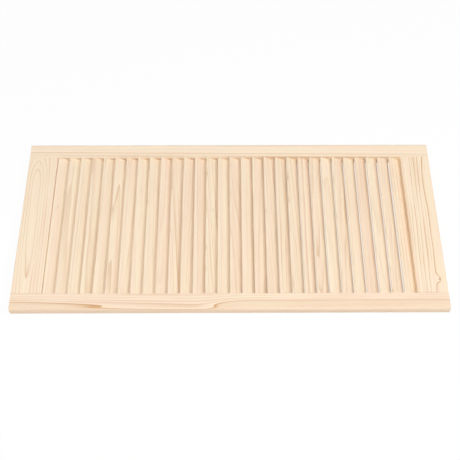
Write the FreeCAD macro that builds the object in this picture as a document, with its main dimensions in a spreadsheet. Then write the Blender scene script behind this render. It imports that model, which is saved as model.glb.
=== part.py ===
"""A fixed-louvre pine cabinet door, lying flat with its front face up.

Two full-length stiles carry everything. Two rails are tenoned between them at the
ends, and a row of thin slats is housed in slanted slots along their inner edges.
Millimetres. X runs up the door, from the bottom rail to the top rail, Y runs across
it, and Z comes out of its front face. The origin is under the middle of the back.
"""
import FreeCAD, Part
import math
import os

import Sketcher

doc = FreeCAD.newDocument("louvred_door")

# Driving sizes, in millimetres, and the number of slats
sizes = doc.addObject("Spreadsheet::Sheet", "Sizes")
DRIVING_SIZES = {
    "door_height": "850",
    "door_width": "394",
    "door_thickness": "21",
    "stile_width": "35",
    "rail_width": "60",
    "edge_radius": "6",
    "arris_radius": "0.8",
    "slat_count": "30",
    "slat_width": "27.4",
    "slat_thickness": "6",
    "slat_front_setback": "1.2",
    "slat_back_setback": "3.6",
    "slat_end_gap": "0.2",
    "housing_depth": "10",
    "housing_clearance": "0.1",
    "housing_end_gap": "0.5",
    "tenon_width": "40",
    "tenon_thickness": "7",
    "tenon_length": "20",
    "tenon_clearance": "0.1",
    "tenon_end_gap": "0.5",
}
for row, (alias, number) in enumerate(DRIVING_SIZES.items(), start=1):
    sizes.set(f"A{row}", alias)
    sizes.set(f"B{row}", number)
    sizes.setAlias(f"B{row}", alias)
doc.recompute()

# Sizes that follow from the driving ones
OPENING_HEIGHT = "(Sizes.door_height - 2 * Sizes.rail_width)"
OPENING_WIDTH = "(Sizes.door_width - 2 * Sizes.stile_width)"
# A slat is a flat bar with round edges: its core is the flat between the two roundings.
SLAT_CORE = "(Sizes.slat_width - Sizes.slat_thickness)"
# The tilt is what brings the two round edges to their setbacks from the faces of the door.
SLAT_HEIGHT = "(Sizes.door_thickness - Sizes.slat_front_setback - Sizes.slat_back_setback)"
SLAT_DROP = f"({SLAT_HEIGHT} - Sizes.slat_thickness)"
SLAT_TILT = f"asin({SLAT_DROP} / {SLAT_CORE})"
SLAT_RUN = f"({SLAT_CORE} * cos({SLAT_TILT}) + Sizes.slat_thickness)"
SLAT_PITCH = f"(({OPENING_HEIGHT} - 2 * Sizes.slat_end_gap - {SLAT_RUN}) / (Sizes.slat_count - 1))"
FIRST_SLAT = f"(Sizes.slat_end_gap + ({SLAT_RUN} - {OPENING_HEIGHT}) / 2)"
SLAT_LENGTH = f"({OPENING_WIDTH} + 2 * (Sizes.housing_depth - Sizes.housing_end_gap))"
# A housing goes round the slat's section in flats an eighth of a turn apart, each at the clearance from it.
HALF_OF_EIGHTH_TURN = "(360 deg / 16)"
HOUSING_HEIGHT = "(Sizes.slat_thickness + 2 * Sizes.housing_clearance)"
HOUSING_WIDTH = f"({SLAT_CORE} + {HOUSING_HEIGHT})"
HOUSING_END = f"({HOUSING_HEIGHT} * tan({HALF_OF_EIGHTH_TURN}))"
HOUSING_FACE = f"({SLAT_CORE} + {HOUSING_END})"
RAIL_OFFSET = "(Sizes.door_height - Sizes.rail_width) / 2"
MID_THICKNESS = "Sizes.door_thickness / 2"
MID_SLAT = f"(Sizes.slat_back_setback + {SLAT_HEIGHT} / 2)"

TOLERANCE = 1e-4
LEAST_CUT_SHARE = 0.9
TOWARDS_LEFT = 1
TOWARDS_RIGHT = -1
TOWARDS_TOP = 1
TOWARDS_BOTTOM = -1


def new_body(name):
    """An empty body whose label names its file."""
    body = doc.addObject("PartDesign::Body", name)
    body.Label = name
    return body


def origin_feature(body, role):
    """One of the body's own origin planes or axes."""
    return next(feature for feature in body.Origin.OriginFeatures if feature.Role == role)


def new_sketch(body, name, plane):
    """An empty sketch on one of the body's origin planes."""
    sketch = body.newObject("Sketcher::SketchObject", name)
    sketch.AttachmentSupport = [(origin_feature(body, plane), "")]
    sketch.MapMode = "FlatFace"
    return sketch


def value_of(expression):
    """What an expression in the sheet's sizes comes to now."""
    return float(sizes.evalExpression(expression))


def bind(sketch, kind, places, name, expression):
    """Add one named dimension to a sketch and tie it to the sheet."""
    index = sketch.addConstraint(Sketcher.Constraint(kind, *places, value_of(expression)))
    sketch.renameConstraint(index, name)
    sketch.setExpression(f"Constraints.{name}", expression)


def draw_rectangle(sketch, width, height):
    """A rectangle about the sketch's origin."""
    right = value_of(width) / 2
    top = value_of(height) / 2
    corners = [FreeCAD.Vector(-right, -top), FreeCAD.Vector(right, -top),
               FreeCAD.Vector(right, top), FreeCAD.Vector(-right, top)]
    for here, after in zip(corners, corners[1:] + corners[:1]):
        sketch.addGeometry(Part.LineSegment(here, after))
    bottom_line, right_line, top_line, left_line = range(4)
    lines = (bottom_line, right_line, top_line, left_line)
    for here, after in zip(lines, lines[1:] + lines[:1]):
        sketch.addConstraint(Sketcher.Constraint("Coincident", here, 2, after, 1))
    for line in (bottom_line, top_line):
        sketch.addConstraint(Sketcher.Constraint("Horizontal", line))
    for line in (right_line, left_line):
        sketch.addConstraint(Sketcher.Constraint("Vertical", line))
    sketch.addConstraint(Sketcher.Constraint("Symmetric", bottom_line, 1, top_line, 1, -1, 1))
    bind(sketch, "DistanceX", (bottom_line, 1, bottom_line, 2), "width", width)
    bind(sketch, "DistanceY", (right_line, 1, right_line, 2), "height", height)


def draw_slat_section(sketch, core, thickness):
    """A flat bar with full-round edges, lying along the sketch's horizontal axis."""
    reach = value_of(core) / 2
    radius = value_of(thickness) / 2
    normal = FreeCAD.Vector(0, 0, 1)
    face = Part.LineSegment(FreeCAD.Vector(reach, radius), FreeCAD.Vector(-reach, radius))
    back = Part.LineSegment(FreeCAD.Vector(-reach, -radius), FreeCAD.Vector(reach, -radius))
    left_circle = Part.Circle(FreeCAD.Vector(-reach, 0), normal, radius)
    right_circle = Part.Circle(FreeCAD.Vector(reach, 0), normal, radius)
    left_round = Part.ArcOfCircle(left_circle, math.pi / 2, 3 * math.pi / 2)
    right_round = Part.ArcOfCircle(right_circle, -math.pi / 2, math.pi / 2)
    loop = [sketch.addGeometry(edge) for edge in (face, left_round, back, right_round)]
    for here, after in zip(loop, loop[1:] + loop[:1]):
        sketch.addConstraint(Sketcher.Constraint("Tangent", here, 2, after, 1))
    left, right = loop[1], loop[3]
    sketch.addConstraint(Sketcher.Constraint("Horizontal", loop[0]))
    sketch.addConstraint(Sketcher.Constraint("Symmetric", left, 3, right, 3, -1, 1))
    bind(sketch, "DistanceX", (left, 3, right, 3), "core", core)
    bind(sketch, "Diameter", (left,), "thickness", thickness)


def draw_housing_section(sketch, width, height, face, end):
    """A long rectangle with bevelled corners about the sketch's origin."""
    right, top = value_of(width) / 2, value_of(height) / 2
    face_reach, end_reach = value_of(face) / 2, value_of(end) / 2
    corners = [FreeCAD.Vector(-face_reach, -top), FreeCAD.Vector(face_reach, -top),
               FreeCAD.Vector(right, -end_reach), FreeCAD.Vector(right, end_reach)]
    corners += [-corner for corner in corners]
    loop = [sketch.addGeometry(Part.LineSegment(here, after))
            for here, after in zip(corners, corners[1:] + corners[:1])]
    for here, after in zip(loop, loop[1:] + loop[:1]):
        sketch.addConstraint(Sketcher.Constraint("Coincident", here, 2, after, 1))
    half = len(loop) // 2
    for line, opposite in zip(loop[:half], loop[half:]):
        sketch.addConstraint(Sketcher.Constraint("Symmetric", line, 1, opposite, 1, -1, 1))
    bottom_face, _, right_end, _ = loop[:half]
    top_face, _, left_end, _ = loop[half:]
    sketch.addConstraint(Sketcher.Constraint("Symmetric", bottom_face, 1, bottom_face, 2, -2))
    sketch.addConstraint(Sketcher.Constraint("Symmetric", right_end, 1, right_end, 2, -1))
    bind(sketch, "DistanceX", (left_end, 1, right_end, 2), "width", width)
    bind(sketch, "DistanceY", (bottom_face, 2, top_face, 1), "height", height)
    bind(sketch, "DistanceX", (bottom_face, 1, bottom_face, 2), "face", face)
    bind(sketch, "DistanceY", (right_end, 1, right_end, 2), "end", end)


def add_pad(body, sketch, name, length):
    """A pad that reaches the same way out of both sides of its sketch."""
    pad = body.newObject("PartDesign::Pad", name)
    pad.Profile = sketch
    pad.SideType = "Symmetric"
    pad.setExpression("Length", length)
    body.Tip = pad
    doc.recompute()
    return pad


def add_fillet(body, base, name, radius, chosen):
    """Round the edges of a feature that the test chooses."""
    fillet = body.newObject("PartDesign::Fillet", name)
    names = [f"Edge{index}" for index, edge in enumerate(base.Shape.Edges, start=1) if chosen(edge)]
    fillet.Base = (base, names)
    fillet.setExpression("Radius", radius)
    body.Tip = fillet
    doc.recompute()
    return fillet


def add_row_of_pockets(body, sketch, name, side, depth, spacing, count):
    """Sink a sketch into the inner edge of a stile, and repeat it up the door."""
    pocket = body.newObject("PartDesign::Pocket", name)
    pocket.Profile = sketch
    pocket.Reversed = side == TOWARDS_RIGHT
    pocket.setExpression("Length", depth)
    body.Tip = pocket
    doc.recompute()
    row = body.newObject("PartDesign::LinearPattern", f"{name}_row")
    row.Originals = [pocket]
    row.Direction = (origin_feature(body, "X_Axis"), [""])
    row.Mode = "Spacing"
    row.setExpression("Offset", spacing)
    row.setExpression("Occurrences", count)
    body.Tip = row
    doc.recompute()
    return row


def check_cut(before, after, count, area, depth):
    """A row of pockets has to take nearly all of its sections out of the wood."""
    expected = count * area * depth
    if before.Shape.Volume - after.Shape.Volume < LEAST_CUT_SHARE * expected:
        raise RuntimeError(f"{after.Label} did not cut what it should")


def make_stile(name, side):
    """A full-length upright: round outer edges, slanted slat housings and two mortises inside."""
    body = new_body(name)
    body.setExpression("Placement.Base.y", f"{side} * (Sizes.door_width - Sizes.stile_width) / 2")
    body.setExpression("Placement.Base.z", MID_THICKNESS)
    section = new_sketch(body, f"{name}_section", "YZ_Plane")
    draw_rectangle(section, "Sizes.stile_width", "Sizes.door_thickness")
    board = add_pad(body, section, f"{name}_board", "Sizes.door_height")

    half_width = sizes.get("stile_width") / 2
    half_height = sizes.get("door_height") / 2

    def runs_along(edge, across):
        along_door = abs(edge.Length - 2 * half_height) < TOLERANCE
        return along_door and abs(edge.CenterOfMass.y - across) < TOLERANCE

    def is_sharp(edge):
        at_end = abs(abs(edge.CenterOfMass.x) - half_height) < TOLERANCE
        return at_end or runs_along(edge, -side * half_width)

    rounded = add_fillet(body, board, f"{name}_round_edge", "Sizes.edge_radius",
                         lambda edge: runs_along(edge, side * half_width))
    eased = add_fillet(body, rounded, f"{name}_eased_edges", "Sizes.arris_radius", is_sharp)

    housing = new_sketch(body, f"{name}_housing_section", "XZ_Plane")
    housing.AttachmentOffset = FreeCAD.Placement(FreeCAD.Vector(), FreeCAD.Vector(0, 0, -1), 0)
    housing.setExpression("AttachmentOffset.Base.x", FIRST_SLAT)
    housing.setExpression("AttachmentOffset.Base.y", f"{MID_SLAT} - {MID_THICKNESS}")
    housing.setExpression("AttachmentOffset.Base.z", f"{side} * Sizes.stile_width / 2")
    housing.setExpression("AttachmentOffset.Rotation.Angle", SLAT_TILT)
    draw_housing_section(housing, HOUSING_WIDTH, HOUSING_HEIGHT, HOUSING_FACE, HOUSING_END)
    housings = add_row_of_pockets(body, housing, f"{name}_housing", side, "Sizes.housing_depth",
                                  SLAT_PITCH, "Sizes.slat_count")
    check_cut(eased, housings, sizes.get("slat_count"), Part.Face(housing.Shape).Area,
              sizes.get("housing_depth"))

    mortise = new_sketch(body, f"{name}_mortise_section", "XZ_Plane")
    mortise.setExpression("AttachmentOffset.Base.x", f"-{RAIL_OFFSET}")
    mortise.setExpression("AttachmentOffset.Base.z", f"{side} * Sizes.stile_width / 2")
    draw_rectangle(mortise, "Sizes.tenon_width + 2 * Sizes.tenon_clearance",
                   "Sizes.tenon_thickness + 2 * Sizes.tenon_clearance")
    mortises = add_row_of_pockets(body, mortise, f"{name}_mortise", side,
                                  "Sizes.tenon_length + Sizes.tenon_end_gap", f"2 * {RAIL_OFFSET}", "2")
    check_cut(housings, mortises, 2, Part.Face(mortise.Shape).Area,
              sizes.get("tenon_length") + sizes.get("tenon_end_gap"))
    return body


def make_rail(name, end):
    """A short board between the stiles, with a tenon at each end and eased long edges."""
    body = new_body(name)
    body.setExpression("Placement.Base.x", f"{end} * {RAIL_OFFSET}")
    body.setExpression("Placement.Base.z", MID_THICKNESS)
    section = new_sketch(body, f"{name}_section", "XZ_Plane")
    draw_rectangle(section, "Sizes.rail_width", "Sizes.door_thickness")
    board = add_pad(body, section, f"{name}_board", OPENING_WIDTH)
    add_fillet(body, board, f"{name}_eased_edges", "Sizes.arris_radius",
               lambda edge: abs(edge.CenterOfMass.y) < TOLERANCE)
    tenon = new_sketch(body, f"{name}_tenon_section", "XZ_Plane")
    draw_rectangle(tenon, "Sizes.tenon_width", "Sizes.tenon_thickness")
    add_pad(body, tenon, f"{name}_tenons", f"{OPENING_WIDTH} + 2 * Sizes.tenon_length")
    return body


def make_slat(name, place):
    """One fixed slat, tilted down towards the top rail, with both ends in their housings."""
    body = new_body(name)
    body.Placement = FreeCAD.Placement(FreeCAD.Vector(), FreeCAD.Vector(0, 1, 0), 0)
    body.setExpression("Placement.Base.x", f"{FIRST_SLAT} + {place} * {SLAT_PITCH}")
    body.setExpression("Placement.Base.z", MID_SLAT)
    body.setExpression("Placement.Rotation.Angle", SLAT_TILT)
    section = new_sketch(body, f"{name}_section", "XZ_Plane")
    draw_slat_section(section, SLAT_CORE, "Sizes.slat_thickness")
    add_pad(body, section, f"{name}_bar", SLAT_LENGTH)
    return body


def check_document(pieces):
    """Stop before anything is written if a feature failed or a piece is not one sound solid."""
    for item in doc.Objects:
        if "Invalid" in item.State or "Error" in item.State:
            raise RuntimeError(f"{item.Label} failed to build")
    for piece in pieces:
        shape = piece.Shape
        if shape.isNull() or not shape.isValid() or len(shape.Solids) != 1:
            raise RuntimeError(f"{piece.Label} is not one valid solid")


def write_pieces(pieces):
    """One file for each piece, in its place in the door."""
    os.makedirs("parts", exist_ok=True)
    for piece in pieces:
        piece.Shape.exportStep(f"parts/{piece.Label}.step")


pieces = [
    make_stile("left_stile", TOWARDS_LEFT),
    make_stile("right_stile", TOWARDS_RIGHT),
    make_rail("bottom_rail", TOWARDS_BOTTOM),
    make_rail("top_rail", TOWARDS_TOP),
]
pieces += [make_slat(f"slat_{place + 1:02d}", place) for place in range(int(sizes.get("slat_count")))]
doc.recompute()
check_document(pieces)
write_pieces(pieces)
print(f"{len(pieces)} pieces, {sum(piece.Shape.Volume for piece in pieces) / 1e6:.3f} litres of wood")
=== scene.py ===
# %% [markdown]
# # A louvred pine door, lying on its back
# The door is two long stiles, two rails between their ends, and a row of thin slats set at a slant
# between the stiles. All of it is bare planed pine, so the lesson is mostly about wood: how a board
# is cut out of a trunk, and why that alone decides which lines show on its faces, edges and ends.
#
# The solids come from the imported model. They are loaded first and never moved, and later steps
# measure them.

# %% Load the frame
import math

import bpy
import numpy as np
from mathutils import Matrix, Vector


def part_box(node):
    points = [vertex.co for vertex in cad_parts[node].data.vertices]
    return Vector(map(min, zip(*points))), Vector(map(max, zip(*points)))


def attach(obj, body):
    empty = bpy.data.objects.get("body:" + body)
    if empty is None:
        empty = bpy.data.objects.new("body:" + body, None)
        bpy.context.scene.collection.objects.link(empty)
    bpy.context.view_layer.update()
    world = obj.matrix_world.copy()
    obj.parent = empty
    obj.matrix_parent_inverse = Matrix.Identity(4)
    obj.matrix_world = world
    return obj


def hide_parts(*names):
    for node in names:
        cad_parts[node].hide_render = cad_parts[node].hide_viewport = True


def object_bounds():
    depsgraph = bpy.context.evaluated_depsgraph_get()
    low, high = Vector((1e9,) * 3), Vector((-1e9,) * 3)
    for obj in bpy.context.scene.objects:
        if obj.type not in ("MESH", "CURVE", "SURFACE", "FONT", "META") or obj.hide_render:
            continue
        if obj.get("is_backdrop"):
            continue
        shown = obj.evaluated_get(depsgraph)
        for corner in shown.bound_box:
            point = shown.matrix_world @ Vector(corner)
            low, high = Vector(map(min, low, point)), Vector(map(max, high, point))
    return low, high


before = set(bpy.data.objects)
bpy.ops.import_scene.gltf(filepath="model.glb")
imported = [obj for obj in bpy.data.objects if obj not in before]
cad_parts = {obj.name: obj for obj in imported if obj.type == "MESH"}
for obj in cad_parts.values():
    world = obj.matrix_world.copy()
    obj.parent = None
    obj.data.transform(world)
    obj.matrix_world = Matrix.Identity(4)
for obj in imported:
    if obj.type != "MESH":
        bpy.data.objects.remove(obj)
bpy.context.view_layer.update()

MM_IN_M = 1000.0

# %% [markdown]
# ## Reading the slats from the frame
# A slat is a flat bar with round edges, leaning over between the two faces of the door. Its own box
# tells how far it leans: take the thickness off the box's length and height, and what is left are
# the two legs of a right triangle whose long side is the flat of the slat. The angle could be
# written down instead, but measured like this it stays right if the slats are built wider or
# steeper. Only their thickness, which the box of a leaning bar can't show, is given as a number.

# %% Measure the slats
SLAT_THICKNESS = 0.006
slat_names = sorted(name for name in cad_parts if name.startswith("slat_"))
slat_boxes = np.array([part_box(name) for name in slat_names])
slat_centres = slat_boxes.mean(axis=1)
slat_sides = slat_boxes[0, 1] - slat_boxes[0, 0]
slat_run = slat_sides[0] - SLAT_THICKNESS
slat_rise = slat_sides[2] - SLAT_THICKNESS
slat_core = math.hypot(slat_run, slat_rise)
slat_tilt = math.atan2(slat_rise, slat_run)
slat_length = slat_sides[1]
print(len(slat_names), "slats, tilted", round(math.degrees(slat_tilt), 1), "degrees")

# %% [markdown]
# ## The slats as surfaces
# On the real door each slat was planed from a thin strip, and a thin strip never stays quite
# straight: it bows along its length and cups across its width by a fraction of a millimetre. The
# plain solids are all alike, so each slat is made again here as a surface of two parameters. One
# runs round the section, the other runs along the slat. Two arrays of numbers describe all of it at
# once, and no loop visits a vertex.
#
# Every vertex also keeps its place in the strip it was cut from: along the grain, across it and
# through it. The wood reads that place later, so the grain bows with the slat and never slides over
# it.

# %% A closed section carried along a straight path
SLAT_ROUND_STEPS = 8
SLAT_FLAT_STEPS = 8
SLAT_LENGTH_STEPS = 24


def slat_section(core, thickness):
    """Points round a flat bar with round edges, as (across, through).

    Two half circles of radius thickness / 2 stand at the ends of the flat, and two straight runs
    join them.
    """
    radius = thickness / 2
    turn = np.linspace(-np.pi / 2, np.pi / 2, SLAT_ROUND_STEPS + 1)
    run = np.linspace(core / 2, -core / 2, SLAT_FLAT_STEPS + 1)[1:-1]
    far_round = np.stack([core / 2 + radius * np.cos(turn), radius * np.sin(turn)], axis=1)
    front_flat = np.stack([run, np.full_like(run, radius)], axis=1)
    half = np.concatenate([far_round, front_flat])
    return np.concatenate([half, -half])


def slat_surface(section, bow, cup, twist, centre):
    """The slat as a grid of points, and each point's place in its strip.

    Along the slat, v runs from -1 to 1, and across it, u is -1 and 1 at the two edges. The section
    is lifted by (1 - v squared) times the sum of bow and cup times (1 - u squared). It is then leant
    over by the tilt of the slats plus twist times v.
    """
    v = np.linspace(-1, 1, SLAT_LENGTH_STEPS + 1)[:, None]
    across = np.broadcast_to(section[:, 0], (len(v), len(section)))
    through = np.broadcast_to(section[:, 1], across.shape)
    along = np.broadcast_to(v * slat_length / 2, across.shape)
    u = across / section[:, 0].max()
    lifted = through + (1 - v ** 2) * (bow + cup * (1 - u ** 2))
    lean = slat_tilt + twist * v
    points = np.stack([
        centre[0] + across * np.cos(lean) + lifted * np.sin(lean),
        centre[1] + along,
        centre[2] - across * np.sin(lean) + lifted * np.cos(lean),
    ], axis=-1)
    return points, np.stack([along, across, through], axis=-1)


def tube_faces(rows, around):
    """Quads between neighbouring rows of a closed grid, and one flat face to close each end.

    Each face lists its corners anticlockwise as seen from outside, which is what makes it point
    outwards.
    """
    row, step = np.meshgrid(np.arange(rows - 1), np.arange(around), indexing="ij")
    here = row * around + step
    beside = row * around + (step + 1) % around
    quads = np.stack([here, here + around, beside + around, beside], axis=-1).reshape(-1, 4)
    first_end = np.arange(around)
    last_end = first_end[::-1] + (rows - 1) * around
    return quads.tolist() + [first_end.tolist(), last_end.tolist()]


section = slat_section(slat_core, SLAT_THICKNESS)
section_width = np.ptp(section[:, 0]) * MM_IN_M
print("slat section of", len(section), "points,", round(section_width, 1), "mm wide")

# %% [markdown]
# ## Thirty strips, no two alike
# The strips came out of different boards. A few numbers say how each was cut: how far the heart of
# the tree lay below and beside the strip, how the grain drifts along it, and how warm or pale the
# wood is. Thirty materials could hold them. Here they are drawn once from a seeded generator, so
# each run gives the same door, and stored on the meshes as attributes that one shared material can
# read.

# %% Draw how each strip was cut
LARGEST_BOW = 0.00025
LARGEST_CUP = 0.00008
LARGEST_TWIST = math.radians(0.15)
LARGEST_PITH_SIDE_MM = 38.0
PITH_DEPTHS_MM = (14.0, 46.0)
LARGEST_GRAIN_LEAN = 0.05
WARMTHS = (0.2, 0.65)
LINE_STRENGTHS = (0.35, 1.0)
LARGEST_SEED = 60.0
DRAW_SEED = 30

draw = np.random.default_rng(DRAW_SEED)
count = len(slat_names)
bows = draw.uniform(-LARGEST_BOW, LARGEST_BOW, count)
cups = draw.uniform(-LARGEST_CUP, LARGEST_CUP, count)
twists = draw.uniform(-LARGEST_TWIST, LARGEST_TWIST, count)
pith_sides = draw.uniform(-LARGEST_PITH_SIDE_MM, LARGEST_PITH_SIDE_MM, count)
pith_depths = draw.uniform(*PITH_DEPTHS_MM, count)
grain_leans = draw.uniform(-LARGEST_GRAIN_LEAN, LARGEST_GRAIN_LEAN, count)
warmths = draw.uniform(*WARMTHS, count)
line_strengths = draw.uniform(*LINE_STRENGTHS, count)
seeds = draw.uniform(0, LARGEST_SEED, count)
print("largest bow drawn:", round(np.abs(bows).max() * MM_IN_M, 2), "mm")

# %% [markdown]
# ## Putting the slats in their places
# Each slat takes the place of the plain solid of the same name and stays part of the same rigid
# door. Two of the strips also carry a small brown mark, left by a twig, and the places of these two
# are written down.

# %% Make the slats
# Along the strip and across it in mm, and how dark the mark is.
SLAT_MARKS = {"slat_01": (40.0, -3.0, 0.5), "slat_14": (33.0, 2.0, 0.6)}
NO_MARK = (0.0, 0.0, 0.0)


def store(mesh, name, values):
    """Keep one vector for each vertex under a name that a material can read."""
    attribute = mesh.attributes.new(name, "FLOAT_VECTOR", "POINT")
    flat = np.broadcast_to(values, (len(mesh.vertices), 3)).astype(np.float32)
    attribute.data.foreach_set("vector", np.ascontiguousarray(flat).ravel())


def make_slat(index, name):
    """One slat in its place, standing for the plain solid of the same name."""
    centre = slat_centres[index]
    points, places = slat_surface(section, bows[index], cups[index], twists[index], centre)
    mesh = bpy.data.meshes.new(f"{name}_strip")
    mesh.from_pydata(points.reshape(-1, 3).tolist(), [], tube_faces(*points.shape[:2]))
    # The two ends come last in the list of faces, and they stay flat.
    smooth = np.ones(len(mesh.polygons), dtype=bool)
    smooth[-2:] = False
    mesh.polygons.foreach_set("use_smooth", smooth)
    store(mesh, "grain_place", places.reshape(-1, 3))
    store(mesh, "strip_cut", (pith_sides[index], pith_depths[index], grain_leans[index]))
    store(mesh, "strip_tone", (warmths[index], line_strengths[index], seeds[index]))
    store(mesh, "strip_mark", SLAT_MARKS.get(name, NO_MARK))
    strip = bpy.data.objects.new(f"{name}_strip", mesh)
    bpy.context.scene.collection.objects.link(strip)
    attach(strip, "root")
    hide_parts(name)
    return strip


slats = [make_slat(index, name) for index, name in enumerate(slat_names)]
print("made", len(slats), "slats of", len(slats[0].data.polygons), "faces each")

# %% [markdown]
# ## Small tools for node trees
# A wood made of nodes is mostly arithmetic, and built by hand it soon becomes a web that nobody can
# read. A few short helpers keep it close to written sums: one adds a node and fills its inputs,
# whether with a number or with a link, and one does a single sum. The rest take vectors apart,
# stretch them, and give noise, ramps and bell curves.

# %% Node helpers
def fill(tree, socket, value):
    """Link a socket to an output, or set it to a plain value."""
    if isinstance(value, bpy.types.NodeSocket):
        tree.links.new(value, socket)
    else:
        socket.default_value = value


def add(tree, kind, settings=None, **inputs):
    """Add a node, change its settings, and fill the inputs that are named."""
    node = tree.nodes.new(kind)
    for name, value in (settings or {}).items():
        setattr(node, name, value)
    for name, value in inputs.items():
        fill(tree, node.inputs[name.replace("_", " ")], value)
    return node


def calc(tree, operation, *values):
    """One sum on one, two or three values."""
    node = add(tree, "ShaderNodeMath", {"operation": operation})
    for socket, value in zip(node.inputs, values):
        fill(tree, socket, value)
    return node.outputs[0]


def parts(tree, vector):
    """The three numbers of a vector."""
    return add(tree, "ShaderNodeSeparateXYZ", Vector=vector).outputs


def stretch(tree, vector, factors, shift=(0.0, 0.0, 0.0)):
    """Scale a vector by three factors, and move it by a shift."""
    node = add(tree, "ShaderNodeVectorMath", {"operation": "MULTIPLY_ADD"}, Vector=vector)
    fill(tree, node.inputs[1], factors)
    fill(tree, node.inputs[2], shift)
    return node.outputs[0]


def noise(tree, vector, detail=2.0, roughness=0.5):
    """Soft noise from 0 to 1, one value and one colour."""
    node = add(tree, "ShaderNodeTexNoise", Vector=vector, Scale=1.0, Detail=detail,
               Roughness=roughness)
    return node.outputs[0], node.outputs[1]


def ramp(tree, value, stops):
    """A grey ramp through (place, brightness) stops."""
    node = add(tree, "ShaderNodeValToRGB", Fac=value)
    points = node.color_ramp.elements
    # Where a new stop lands doesn't matter, as the loop after this one puts each in its place.
    while len(points) < len(stops):
        points.new(0.5)
    for point, (place, grey) in zip(points, stops):
        point.position = place
        point.color = (grey, grey, grey, 1)
    return node.outputs[0]


def bell(tree, *distances):
    """A bell curve: e to the power of minus the sum of the squared distances."""
    total = 0.0
    for distance in distances:
        total = calc(tree, "MULTIPLY_ADD", distance, distance, total)
    return calc(tree, "EXPONENT", calc(tree, "MULTIPLY", total, -1.0))


print("node helpers ready")

# %% [markdown]
# ## Groups with named sockets
# Every board is the same kind of wood, cut in its own way. So the wood is built once, as node
# groups with named inputs, and placed in each material with other numbers. A group gives out only
# masks, values and colours. The shader itself stays in the material.

# %% Open a group and place one
SOCKET_KINDS = {
    "value": "NodeSocketFloat",
    "vector": "NodeSocketVector",
    "colour": "NodeSocketColor",
}


def new_group(name, inputs, outputs):
    """An empty group with named sockets.

    Inputs are {name: default}, each a number or a vector, and outputs are {name: kind}.
    """
    tree = bpy.data.node_groups.new(name, "ShaderNodeTree")
    for label, default in inputs.items():
        kind = SOCKET_KINDS["vector" if isinstance(default, tuple) else "value"]
        tree.interface.new_socket(label, in_out="INPUT", socket_type=kind).default_value = default
    for label, kind in outputs.items():
        tree.interface.new_socket(label, in_out="OUTPUT", socket_type=SOCKET_KINDS[kind])
    given = tree.nodes.new("NodeGroupInput").outputs
    result = tree.nodes.new("NodeGroupOutput").inputs
    return tree, given, result


def use_group(tree, group, **inputs):
    """Place a group in a tree and fill the inputs that are named."""
    return add(tree, "ShaderNodeGroup", {"node_tree": group}, **inputs).outputs


def seed_shift(tree, seed, step):
    """A move that belongs to a seed, as one number and as the same step along all three axes.

    With it, every board meets the noise in another place.
    """
    move = calc(tree, "MULTIPLY", seed, step)
    return move, add(tree, "ShaderNodeCombineXYZ", X=move, Y=move, Z=move).outputs[0]


print("groups can be built")

# %% [markdown]
# ## Growth rings: the heart of the tree
# A trunk is a stack of cones, one for each year: pale wood in spring, a thin darker line in late
# summer. A board is a flat slice through that stack, and its figure is simply where the slice meets
# the cones. Lines could be painted on each face, but they would not meet at the edges. So the rings
# are worked out in three dimensions, from the distance to the heart of the tree, the pith, and
# faces, edges and ends agree.
#
# The pith is a line that lies some depth below the board and some way to its side. Where it rises
# or sinks along the board, the rings come out at the face as long arches. A dip in it, with a
# length of its own to each side, makes one such arch where the real board has it.

# %% Distance from the pith
WANDER_STRETCH = (0.006, 0.05, 0.05)
NOISE_MIDDLE = 0.5


def pith_dip(tree, given, along):
    """A bell curve along the board, with one length ahead of its place and another behind it."""
    from_dip = calc(tree, "SUBTRACT", along, given["Dip place"])
    ahead = calc(tree, "DIVIDE", calc(tree, "MAXIMUM", from_dip, 0.0), given["Dip length"])
    behind = calc(tree, "DIVIDE", calc(tree, "MINIMUM", from_dip, 0.0), given["Dip back length"])
    return calc(tree, "MULTIPLY", bell(tree, calc(tree, "ADD", ahead, behind)), given["Dip depth"])


def pith_distance(tree, given, in_mm, shifts):
    """The long side of a right triangle, from the pith to a place in the board.

    One leg is the depth down to the pith, the other the way beside it. They change evenly along the
    board by Slope and Lean, and a slow noise of size Wobble moves them. The dip and the pull of a
    knot add to the depth.
    """
    along, across, through = parts(tree, in_mm)
    wander = noise(tree, stretch(tree, in_mm, WANDER_STRETCH, shifts))[1]
    sideways, upward, _ = parts(tree, wander)
    sway = calc(tree, "MULTIPLY", calc(tree, "SUBTRACT", sideways, NOISE_MIDDLE), given["Wobble"])
    heave = calc(tree, "MULTIPLY", calc(tree, "SUBTRACT", upward, NOISE_MIDDLE), given["Wobble"])
    depth = calc(tree, "ADD", given["Pith depth"], pith_dip(tree, given, along))
    depth = calc(tree, "MULTIPLY_ADD", along, given["Slope"], depth)
    moved = calc(tree, "ADD", heave, given["Pull"])
    depth = calc(tree, "ADD", calc(tree, "ADD", depth, through), moved)
    side = calc(tree, "MULTIPLY_ADD", along, given["Lean"], given["Pith side"])
    side = calc(tree, "ADD", calc(tree, "SUBTRACT", across, side), sway)
    depth_squared = calc(tree, "MULTIPLY", depth, depth)
    return calc(tree, "SQRT", calc(tree, "MULTIPLY_ADD", side, side, depth_squared))


print("the pith can be measured")

# %% [markdown]
# ## Growth rings: years and lines
# Each ring darkens slowly and ends in a sharp line. The rings are counted from one dark ring whose
# distance from the pith is given, so the line that stands out most on a board can be put where it
# belongs. Good and poor years make wide and narrow rings, some lines are faint, and a line may fade
# out and come back. Inside the dark ring lies heartwood, which can have weaker lines and a darker
# tone than the younger wood outside. On the right stile this darker tone is partly painted shade on
# the rounded front edge.

# %% The ring group
RING_SEED_STEP = 13.7
YEAR_WAVES = (0.5, 0.21)
YEAR_SWING = 0.3
FAINTEST_RING = 0.35
FADE_STRETCH = (0.009, 0.06, 0.06)
FADE_STOPS = ((0.36, 0.4), (0.6, 1.0))
LATE_WOOD_STOPS = ((0.0, 0.0), (0.62, 0.05), (0.84, 0.45), (0.94, 1.0))
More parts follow.
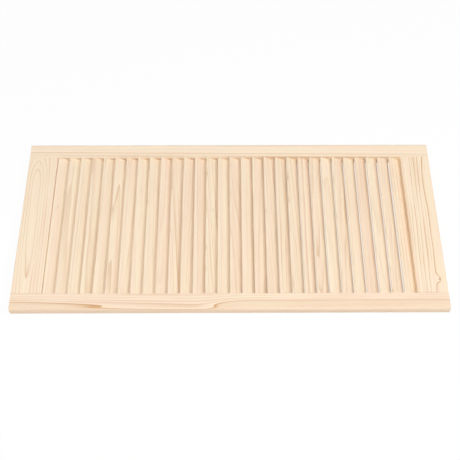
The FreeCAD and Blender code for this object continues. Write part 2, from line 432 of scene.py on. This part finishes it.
# The dark ring ends where the count is zero, so its own number is one less.
DARK_NUMBER = -1.0
HALF_RING = 0.5


def ring_count(tree, given, reach):
    """Rings past the end of the dark one, with a fraction.

    It is the way past the dark ring over the ring width, and two slow sine waves push it to and fro.
    """
    past = calc(tree, "SUBTRACT", reach, given["Dark ring"])
    waves = [calc(tree, "SINE", calc(tree, "MULTIPLY", past, wave)) for wave in YEAR_WAVES]
    even = calc(tree, "DIVIDE", past, given["Ring width"])
    return calc(tree, "MULTIPLY_ADD", calc(tree, "ADD", *waves), YEAR_SWING, even)


def line_strength(tree, given, number, chance, fade):
    """How strong a ring's line is, by chance and by the fade.

    Inside the dark ring it is cut to the share Inner rings. On it, Dark ring strength is the least.
    """
    strength = calc(tree, "MULTIPLY_ADD", chance, 1 - FAINTEST_RING, FAINTEST_RING)
    strength = calc(tree, "MULTIPLY", strength, fade)
    outside = calc(tree, "GREATER_THAN", number, DARK_NUMBER - HALF_RING)
    share = calc(tree, "MAXIMUM", outside, given["Inner rings"])
    strength = calc(tree, "MULTIPLY", strength, share)
    on_dark_ring = calc(tree, "COMPARE", number, DARK_NUMBER, HALF_RING)
    dark = calc(tree, "MULTIPLY", on_dark_ring, given["Dark ring strength"])
    return calc(tree, "MAXIMUM", strength, dark)


def late_wood(tree, given, ring):
    """How much late wood lies at a place in its ring, by how far it is back from the ring's line.

    A larger late share widens the line.
    """
    left_over = calc(tree, "SUBTRACT", 1.0, calc(tree, "FRACT", ring))
    left_over = calc(tree, "DIVIDE", left_over, given["Late share"])
    return ramp(tree, calc(tree, "SUBTRACT", 1.0, left_over), LATE_WOOD_STOPS)


def build_rings():
    """From a place in a board to how much late wood is there."""
    tree, given, result = new_group("pine growth rings", {
        "Place in mm": (0.0, 0.0, 0.0), "Pith side": 0.0, "Pith depth": 40.0, "Lean": 0.0,
        "Slope": 0.0, "Dip place": 0.0, "Dip length": 100.0, "Dip back length": 100.0,
        "Dip depth": 0.0, "Ring width": 3.0, "Late share": 1.0, "Dark ring": 36.0,
        "Dark ring strength": 0.0, "Inner rings": 1.0, "Heart tone": 0.0, "Wobble": 0.5,
        "Pull": 0.0, "Seed": 0.0,
    }, {"Late wood": "value", "Ring chance": "value"})
    in_mm = given["Place in mm"]
    move, shifts = seed_shift(tree, given["Seed"], RING_SEED_STEP)
    ring = ring_count(tree, given, pith_distance(tree, given, in_mm, shifts))
    number = calc(tree, "FLOOR", ring)
    chance = add(tree, "ShaderNodeTexWhiteNoise", {"noise_dimensions": "1D"},
                 W=calc(tree, "ADD", number, move)).outputs[0]
    fade = ramp(tree, noise(tree, stretch(tree, in_mm, FADE_STRETCH, shifts))[0], FADE_STOPS)
    strength = line_strength(tree, given, number, chance, fade)
    lines = calc(tree, "MULTIPLY", late_wood(tree, given, ring), strength)
    # Inside the dark ring comes the heartwood tone, which on the right stile is also painted shade
    # on the front edge.
    heart_and_shade = calc(tree, "LESS_THAN", ring, DARK_NUMBER + HALF_RING)
    heart_and_shade = calc(tree, "MULTIPLY", heart_and_shade, given["Heart tone"])
    fill(tree, result["Late wood"], calc(tree, "MAXIMUM", lines, heart_and_shade))
    fill(tree, result["Ring chance"], chance)
    return tree


rings_group = build_rings()
print("growth rings:", len(rings_group.nodes), "nodes")

# %% [markdown]
# ## Fibres, bands and resin
# Under the rings lies the grain itself: fibres a fraction of a millimetre wide and a few
# centimetres long, broad soft bands where the wood is creamier or pinker, and short thin dashes
# where resin ducts were cut open. All three are the same noise, drawn out along the board by
# different amounts.

# %% The fibre group
FIBRE_SEED_STEP = 7.3
FIBRE_STRETCH = (0.03, 1.1, 1.1)
BAND_STRETCH = (0.004, 0.16, 0.16)
BAND_STOPS = ((0.32, 0.0), (0.68, 1.0))
DUCT_STRETCH = (0.10, 2.2, 2.2)
DUCT_STOPS = ((0.66, 0.0), (0.76, 1.0))


def build_fibres():
    """Three noises stretched along the grain: fine fibres, broad bands and rare short dashes."""
    tree, given, result = new_group("pine fibres", {"Place in mm": (0.0, 0.0, 0.0), "Seed": 0.0},
                                    {"Fibres": "value", "Bands": "value", "Dashes": "value"})
    in_mm = given["Place in mm"]
    shifts = seed_shift(tree, given["Seed"], FIBRE_SEED_STEP)[1]
    fibres = noise(tree, stretch(tree, in_mm, FIBRE_STRETCH, shifts), detail=4.0, roughness=0.65)[0]
    bands = noise(tree, stretch(tree, in_mm, BAND_STRETCH, shifts), detail=2.0, roughness=0.55)[0]
    ducts = noise(tree, stretch(tree, in_mm, DUCT_STRETCH, shifts), detail=1.0, roughness=0.5)[0]
    fill(tree, result["Fibres"], fibres)
    fill(tree, result["Bands"], ramp(tree, bands, BAND_STOPS))
    fill(tree, result["Dashes"], ramp(tree, ducts, DUCT_STOPS))
    return tree


fibres_group = build_fibres()
print("fibres:", len(fibres_group.nodes), "nodes")

# %% [markdown]
# ## A pin knot
# Where a twig once left the trunk, the rings swerve round it and the wood darkens. The group gives
# both: how far to pull the rings, and a mask for the dark spot. With no darkness it is a plain
# swerve in the grain.

# %% The knot group
SPOT_STOPS = ((0.86, 0.0), (0.98, 1.0))


def build_knot():
    """A bell curve round one point of the face, drawn out along the grain."""
    tree, given, result = new_group("pine pin knot", {
        "Place in mm": (0.0, 0.0, 0.0), "Knot along": 0.0, "Knot across": 0.0, "Reach": 6.0,
        "Stretch": 1.6, "Swerve": 0.0, "Darkness": 0.0,
    }, {"Pull": "value", "Spot": "value"})
    along, across, _ = parts(tree, given["Place in mm"])
    length = calc(tree, "MULTIPLY", given["Reach"], given["Stretch"])
    off_along = calc(tree, "SUBTRACT", along, given["Knot along"])
    off_along = calc(tree, "DIVIDE", off_along, length)
    off_across = calc(tree, "SUBTRACT", across, given["Knot across"])
    off_across = calc(tree, "DIVIDE", off_across, given["Reach"])
    near = bell(tree, off_along, off_across)
    fill(tree, result["Pull"], calc(tree, "MULTIPLY", near, given["Swerve"]))
    spot = ramp(tree, near, SPOT_STOPS)
    fill(tree, result["Spot"], calc(tree, "MULTIPLY", spot, given["Darkness"]))
    return tree


knot_group = build_knot()
print("pin knot:", len(knot_group.nodes), "nodes")

# %% [markdown]
# ## Colour of bare pine
# Fresh planed pine is pale cream, a little pink in places, with lines of pale honey. The colours
# are written as they look under plain white light. The group mixes them by the masks above and also
# gives a height, because late wood and fibres stand a hair proud of a planed face, and a roughness.

# %% The colours
def shown(red, green, blue):
    """A colour as a screen shows it, from 0 to 255, as the linear values that light adds up in.

    This is the standard sRGB curve: a straight line for the darkest tones and a power above them.
    """
    channels = np.array([red, green, blue]) / 255.0
    darkest = channels / 12.92
    others = ((channels + 0.055) / 1.055) ** 2.4
    linear = np.where(channels <= 0.04045, darkest, others)
    return (*linear.tolist(), 1.0)


CREAM = shown(253, 238, 212)
PINK = shown(250, 226, 203)
HONEY = shown(206, 158, 106)
RESIN = shown(190, 142, 98)
KNOT_BROWN = shown(170, 122, 84)
print("cream is", [round(channel, 2) for channel in CREAM[:3]], "in linear light")

# %% The colour group
BAND_SHARE = 0.8
YEAR_SHARE = 0.05
DASH_SHARE = 0.16
CLEAR_FIBRE = 0.62
FIBRE_SHARE = 0.3
SPOT_SHARE = 0.6
SMOOTHEST = 0.50
FIBRE_ROUGHNESS = 0.16
LATE_WOOD_HEIGHT = 0.6
# The mix node has sockets for every kind of value, and these are the places of its colours.
FIRST_COLOUR = 6
SECOND_COLOUR = 7
MIXED_COLOUR = 2


def blend(tree, amount, first, second):
    """Mix two colours by an amount from 0 to 1."""
    node = add(tree, "ShaderNodeMix", {"data_type": "RGBA"})
    fill(tree, node.inputs[0], amount)
    fill(tree, node.inputs[FIRST_COLOUR], first)
    fill(tree, node.inputs[SECOND_COLOUR], second)
    return node.outputs[MIXED_COLOUR]


def build_colour():
    """Cream goes to pink by the bands, and then to honey by the late wood.

    After that come the resin dashes, the shade between fibres and the spot of a knot.
    """
    tree, given, result = new_group("pine colour", {
        "Late wood": 0.0, "Ring chance": 0.0, "Fibres": 0.5, "Bands": 0.0, "Dashes": 0.0,
        "Spot": 0.0, "Warmth": 0.5, "Contrast": 0.5,
    }, {"Colour": "colour", "Roughness": "value", "Height": "value"})
    coolest = calc(tree, "SUBTRACT", given["Warmth"], BAND_SHARE / 2)
    warm = calc(tree, "MULTIPLY_ADD", given["Bands"], BAND_SHARE, coolest)
    warm = calc(tree, "MINIMUM", calc(tree, "MAXIMUM", warm, 0.0), 1.0)
    wood = blend(tree, warm, CREAM, PINK)
    year = calc(tree, "MULTIPLY", given["Ring chance"], YEAR_SHARE)
    line = calc(tree, "MULTIPLY_ADD", given["Late wood"], given["Contrast"], year)
    wood = blend(tree, line, wood, HONEY)
    wood = blend(tree, calc(tree, "MULTIPLY", given["Dashes"], DASH_SHARE), wood, RESIN)
    shade = calc(tree, "SUBTRACT", CLEAR_FIBRE, given["Fibres"])
    shade = calc(tree, "MULTIPLY", shade, FIBRE_SHARE)
    wood = blend(tree, calc(tree, "MAXIMUM", shade, 0.0), wood, HONEY)
    wood = blend(tree, calc(tree, "MULTIPLY", given["Spot"], SPOT_SHARE), wood, KNOT_BROWN)
    fill(tree, result["Colour"], wood)
    roughness = calc(tree, "MULTIPLY_ADD", given["Fibres"], FIBRE_ROUGHNESS, SMOOTHEST)
    fill(tree, result["Roughness"], roughness)
    height = calc(tree, "MULTIPLY_ADD", given["Late wood"], LATE_WOOD_HEIGHT, given["Fibres"])
    fill(tree, result["Height"], height)
    return tree


colour_group = build_colour()
print("colour:", len(colour_group.nodes), "nodes")

# %% [markdown]
# ## One material for each board
# Each of the four frame boards has its own figure, so each gets a material of its own, built from
# the same groups with other numbers. The boards are fixed solids, so their grain reads Object
# coordinates. A Mapping node first moves the board's middle to zero, and a second one turns its
# length onto the first axis.

# %% Build a board's material
GRAIN_RELIEF = 0.00006
RELIEF_STRENGTH = 0.5
BOARD_SHINE = 0.28


def new_material(name):
    """A material, its node tree and its shader, which has the low shine of planed wood."""
    material = bpy.data.materials.new(name)
    material.use_nodes = True
    shader = material.node_tree.nodes["Principled BSDF"]
    shader.inputs["Specular IOR Level"].default_value = BOARD_SHINE
    return material, material.node_tree, shader


def finish_wood(tree, shader, rings, fibres, spot, warmth, contrast):
    """Colour, roughness and fine relief from the masks of one board."""
    colour = use_group(tree, colour_group, Late_wood=rings["Late wood"],
                       Ring_chance=rings["Ring chance"], Fibres=fibres["Fibres"],
                       Bands=fibres["Bands"], Dashes=fibres["Dashes"], Spot=spot, Warmth=warmth,
                       Contrast=contrast)
    fill(tree, shader.inputs["Base Color"], colour["Colour"])
    fill(tree, shader.inputs["Roughness"], colour["Roughness"])
    relief = add(tree, "ShaderNodeBump", Height=colour["Height"], Strength=RELIEF_STRENGTH,
                 Distance=GRAIN_RELIEF)
    fill(tree, shader.inputs["Normal"], relief.outputs[0])


def dress_board(node_name, turn, warmth, contrast, cut, knot):
    """Pine for one frame board.

    The cut says how the board was taken from the trunk, in mm, and the knot is one swerve or spot on
    its face.
    """
    material, tree, shader = new_material(f"pine of {node_name}")
    low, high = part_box(node_name)
    place = tree.nodes.new("ShaderNodeTexCoord").outputs["Object"]
    centred = add(tree, "ShaderNodeMapping", Vector=place, Location=-(low + high) / 2).outputs[0]
    turned = add(tree, "ShaderNodeMapping", Vector=centred, Rotation=(0, 0, turn)).outputs[0]
    in_mm = stretch(tree, turned, (MM_IN_M, MM_IN_M, MM_IN_M))
    swerve = use_group(tree, knot_group, Place_in_mm=in_mm, **knot)
    rings = use_group(tree, rings_group, Place_in_mm=in_mm, Pull=swerve["Pull"], **cut)
    fibres = use_group(tree, fibres_group, Place_in_mm=in_mm, Seed=cut["Seed"])
    finish_wood(tree, shader, rings, fibres, swerve["Spot"], warmth, contrast)
    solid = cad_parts[node_name]
    solid.data.materials.clear()
    solid.data.materials.append(material)
    print(material.name, "on", solid.name)


print("boards can be dressed")

# %% [markdown]
# ## The bottom rail
# The bottom rail is cut flat, straight above the heart of the tree, so a long tongue of plain pale
# wood runs down its face and the lines fold round it. The tongue could be drawn as a curve. Here
# the pith simply runs along under the face, a little nearer to it towards the far end, and the
# tongue comes out by itself. One broad swerve bends the lines near that end.

# %% Dress the bottom rail
RAIL_TURN = -math.pi / 2
dress_board(
    "bottom_rail", RAIL_TURN, warmth=0.4, contrast=0.75,
    cut=dict(Pith_side=6.5, Pith_depth=30.0, Lean=0.0176, Slope=-0.0035, Dip_length=150.0,
             Dip_back_length=150.0, Dip_depth=-0.6, Ring_width=2.4, Late_share=0.7, Dark_ring=40.85,
             Dark_ring_strength=0.6, Inner_rings=0.0, Wobble=1.4, Seed=3.0),
    knot=dict(Knot_along=178.0, Knot_across=9.0, Reach=26.0, Swerve=4.0))

# %% [markdown]
# ## The top rail
# The top rail was cut to one side of the heart, so its lines run along it in slow waves and crowd
# together towards the slats. The last of them is dark, and past it lies plain heartwood, a little
# warmer than the rest. Near the right stile the dark line hooks round a pin knot, which one pull in
# the rings and a brown spot give.

# %% Dress the top rail
dress_board(
    "top_rail", RAIL_TURN, warmth=0.35, contrast=1.0,
    cut=dict(Pith_side=-30.0, Pith_depth=34.0, Lean=-0.026, Ring_width=3.2, Late_share=1.5,
             Dark_ring=48.7, Dark_ring_strength=1.0, Inner_rings=0.0, Heart_tone=0.1, Wobble=5.0,
             Seed=13.0),
    knot=dict(Knot_along=-133.0, Knot_across=-16.0, Reach=7.0, Stretch=1.5, Swerve=3.8,
              Darkness=1.0))

# %% [markdown]
# ## The right stile
# The right stile lies nearest to the camera. A dark line enters from each end of it, and each fades
# out in a point on its outer side, with tan heartwood below them. The two could be painted as
# streaks. Here they are one ring round a pith close under the surface: the pith dips along the
# board, slowly on one side and quickly on the other, and takes the ring down with it below the
# face. The tan heartwood tone is partly painted shade: it also darkens the stile's rounded front
# edge, in place of part of the shade there.

# %% Dress the right stile
STILE_TURN = 0.0
dress_board(
    "right_stile", STILE_TURN, warmth=0.65, contrast=0.85,
    cut=dict(Pith_side=-10.0, Pith_depth=7.5, Dip_place=-66.0, Dip_length=62.0,
             Dip_back_length=319.0, Dip_depth=5.03, Ring_width=2.6, Late_share=2.0, Dark_ring=21.7,
             # This heartwood tone is partly painted shade on the stile's rounded front edge.
             Dark_ring_strength=1.0, Inner_rings=0.6, Heart_tone=0.22, Wobble=0.4, Seed=21.0),
    knot={})

# %% [markdown]
# ## The left stile
# The left stile is the straightest board. The heart lay far out to its side, so its rings stand
# steeply and show as a few long lines that lean only slightly. Its outer half, nearer to the heart,
# is almost plain.

# %% Dress the left stile
dress_board(
    "left_stile", STILE_TURN, warmth=0.35, contrast=0.9,
    cut=dict(Pith_side=52.0, Pith_depth=24.0, Lean=-0.0078, Ring_width=4.0, Late_share=1.7,
             Dark_ring=69.2, Dark_ring_strength=1.0, Inner_rings=0.2, Wobble=1.6, Seed=34.0),
    knot={})

# %% [markdown]
# ## One material for all slats
# The slats share a material. What differs from strip to strip is read from the attributes that each
# mesh carries, so thirty different figures come out of one node tree.

# %% Dress the slats
SLAT_SLOPE_SHARE = 0.6
SLAT_CONTRAST = 0.75


def strip_values(tree, name):
    """The vector that a strip keeps under a name."""
    return add(tree, "ShaderNodeAttribute", {"attribute_name": name}).outputs["Vector"]


def slat_material():
    """Pine that reads its place, its cut, its tone and its mark from the strip it is put on."""
    material, tree, shader = new_material("pine of the slats")
    in_mm = stretch(tree, strip_values(tree, "grain_place"), (MM_IN_M, MM_IN_M, MM_IN_M))
    side, depth, lean = parts(tree, strip_values(tree, "strip_cut"))
    warmth, strength, seed = parts(tree, strip_values(tree, "strip_tone"))
    mark_along, mark_across, darkness = parts(tree, strip_values(tree, "strip_mark"))
    mark = use_group(tree, knot_group, Place_in_mm=in_mm, Knot_along=mark_along,
                     Knot_across=mark_across, Reach=3.0, Stretch=6.0, Darkness=darkness)
    slope = calc(tree, "MULTIPLY", lean, SLAT_SLOPE_SHARE)
    rings = use_group(tree, rings_group, Place_in_mm=in_mm, Pith_side=side, Pith_depth=depth,
                      Lean=lean, Slope=slope, Ring_width=3.6, Late_share=1.3, Wobble=3.0, Seed=seed)
    fibres = use_group(tree, fibres_group, Place_in_mm=in_mm, Seed=seed)
    contrast = calc(tree, "MULTIPLY", strength, SLAT_CONTRAST)
    finish_wood(tree, shader, rings, fibres, mark["Spot"], warmth, contrast)
    return material


slat_pine = slat_material()
for slat in slats:
    slat.data.materials.append(slat_pine)
print(slat_pine.name, "on", len(slats), "slats")

# %% [markdown]
# ## Floor
# The door lies on a plain white floor. To the camera the floor is nearly pure white, which its
# material does with the light path, and a share of plain paint is kept in it so that the door's
# soft shadow stays. More light on the scene would whiten the floor too, but it would bleach the
# pine with it. The floor lies a hair under the door's back, so that the two faces never coincide.

# %% Make the floor
FLOOR_REACH = 6.0
FLOOR_STEPS = 9
FLOOR_DROP = 0.0003
FLOOR_GLOW_SHARE = 0.90
FLOOR_PAINT = 0.94


def floor_grid(reach, steps, drop):
    """A flat square: every point of an even grid of two parameters, a little under height zero."""
    line = np.linspace(-reach, reach, steps)
    x, y = np.meshgrid(line, line, indexing="ij")
    return np.stack([x, y, np.full_like(x, -drop)], axis=-1)


def grid_faces(rows, columns):
    """Quads between neighbouring points of an open grid."""
    row, column = np.meshgrid(np.arange(rows - 1), np.arange(columns - 1), indexing="ij")
    here = row * columns + column
    corners = np.stack([here, here + columns, here + columns + 1, here + 1], axis=-1)
    return corners.reshape(-1, 4).tolist()


def seen_directly(tree):
    """One where a ray comes from the camera, or by way of a mirror or glass."""
    rays = tree.nodes.new("ShaderNodeLightPath").outputs
    mirrored = calc(tree, "MAXIMUM", rays["Is Glossy Ray"], rays["Is Transmission Ray"])
    return calc(tree, "MAXIMUM", rays["Is Camera Ray"], mirrored)


def mix_into(tree, amount, first, second, output_kind):
    """Mix two shaders by an amount and make the result the tree's surface."""
    mix = add(tree, "ShaderNodeMixShader", Fac=amount)
    fill(tree, mix.inputs[1], first.outputs[0])
    fill(tree, mix.inputs[2], second.outputs[0])
    add(tree, output_kind, Surface=mix.outputs[0])


def floor_material():
    """White paint that also glows, but only where it is seen directly."""
    material = bpy.data.materials.new("white floor")
    material.use_nodes = True
    tree = material.node_tree
    tree.nodes.clear()
    paint = add(tree, "ShaderNodeBsdfDiffuse", Color=(FLOOR_PAINT, FLOOR_PAINT, FLOOR_PAINT, 1))
    glow = add(tree, "ShaderNodeEmission", Color=(1, 1, 1, 1), Strength=1.0)
    share = calc(tree, "MULTIPLY", seen_directly(tree), FLOOR_GLOW_SHARE)
    mix_into(tree, share, paint, glow, "ShaderNodeOutputMaterial")
    return material


floor_points = floor_grid(FLOOR_REACH, FLOOR_STEPS, FLOOR_DROP)
floor_mesh = bpy.data.meshes.new("floor")
floor_faces = grid_faces(*floor_points.shape[:2])
floor_mesh.from_pydata(floor_points.reshape(-1, 3).tolist(), [], floor_faces)
floor_mesh.materials.append(floor_material())
floor = bpy.data.objects.new("floor", floor_mesh)
bpy.context.scene.collection.objects.link(floor)
floor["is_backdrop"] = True
print("floor of", len(floor_mesh.polygons), "faces")

# %% [markdown]
# ## Light
# The light is soft and plain. A wide pale sky fills the shadows, a large lamp high at the front
# lights the stiles, and a smaller one lower on the right faces the slant of the slats. So their
# faces are as bright as the stiles, and only their deep ends, under the next slat, fall into shade.
# A weak lamp on the left evens out the two ends. One lamp alone would leave either the slats or the
# stiles dull.

# %% World and lamps
SKY_STRENGTH = 0.30


def light_world():
    """An even pale sky for lighting, and plain white where it is seen directly."""
    world = bpy.data.worlds.new("studio")
    world.use_nodes = True
    tree = world.node_tree
    tree.nodes.clear()
    sky = add(tree, "ShaderNodeBackground", Color=(1, 1, 1, 1), Strength=SKY_STRENGTH)
    white = add(tree, "ShaderNodeBackground", Color=(1, 1, 1, 1), Strength=1.0)
    mix_into(tree, seen_directly(tree), sky, white, "ShaderNodeOutputWorld")
    return world


def soft_lamp(name, place, size, power):
    """A square lamp that looks at the middle of the door."""
    data = bpy.data.lights.new(name, "AREA")
    data.size = size
    data.energy = power
    lamp = bpy.data.objects.new(name, data)
    lamp.location = place
    lamp.rotation_euler = (-Vector(place)).to_track_quat("-Z", "Y").to_euler()
    bpy.context.scene.collection.objects.link(lamp)
    return lamp


bpy.context.scene.world = light_world()
bpy.context.scene.view_settings.view_transform = "Standard"
lamps = [
    soft_lamp("high front lamp", place=(-0.3, -1.6, 4.2), size=1.6, power=91.0),
    soft_lamp("low right lamp", place=(1.5, -0.4, 1.9), size=0.8, power=15.5),
    soft_lamp("left lamp", place=(-1.6, -0.8, 2.4), size=0.9, power=13.0),
]
print("lit by a sky of", SKY_STRENGTH, "and", len(lamps), "lamps")

# %% [markdown]
# ## Camera
# The picture was taken from in front of the right stile, looking steeply down. The edges of the
# door give the camera: the two short ends lean towards a far vanishing point, and the thickness of
# the near edge says how steep the view is.

# %% Camera
IMAGE_PX = 460
FOCAL_PX = 856.2
CAMERA_PLACE = (-0.0062, -0.9172, 1.5040)
CAMERA_PITCH = math.radians(58.813)
CAMERA_YAW = math.radians(0.458)
CAMERA_ROLL = math.radians(0.232)

camera_data = bpy.data.cameras.new("camera")
camera_data.lens = camera_data.sensor_width * FOCAL_PX / IMAGE_PX
camera = bpy.data.objects.new("camera", camera_data)
aim = Matrix.Rotation(-CAMERA_YAW, 3, "Z") @ Matrix.Rotation(math.pi / 2 - CAMERA_PITCH, 3, "X")
camera.rotation_euler = (aim @ Matrix.Rotation(CAMERA_ROLL, 3, "Z")).to_euler()
camera.location = CAMERA_PLACE
bpy.context.scene.collection.objects.link(camera)
bpy.context.scene.camera = camera
print("camera lens", round(camera_data.lens, 1), "mm")

# %% [markdown]
# ## Last measurements
# The box round the dressed door is printed, in mm.

# %% Finish
seen_low, seen_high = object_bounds()
seen_sides = [high - low for low, high in zip(seen_low, seen_high)]
print("visual box in mm:", [round(side * MM_IN_M, 1) for side in seen_sides])
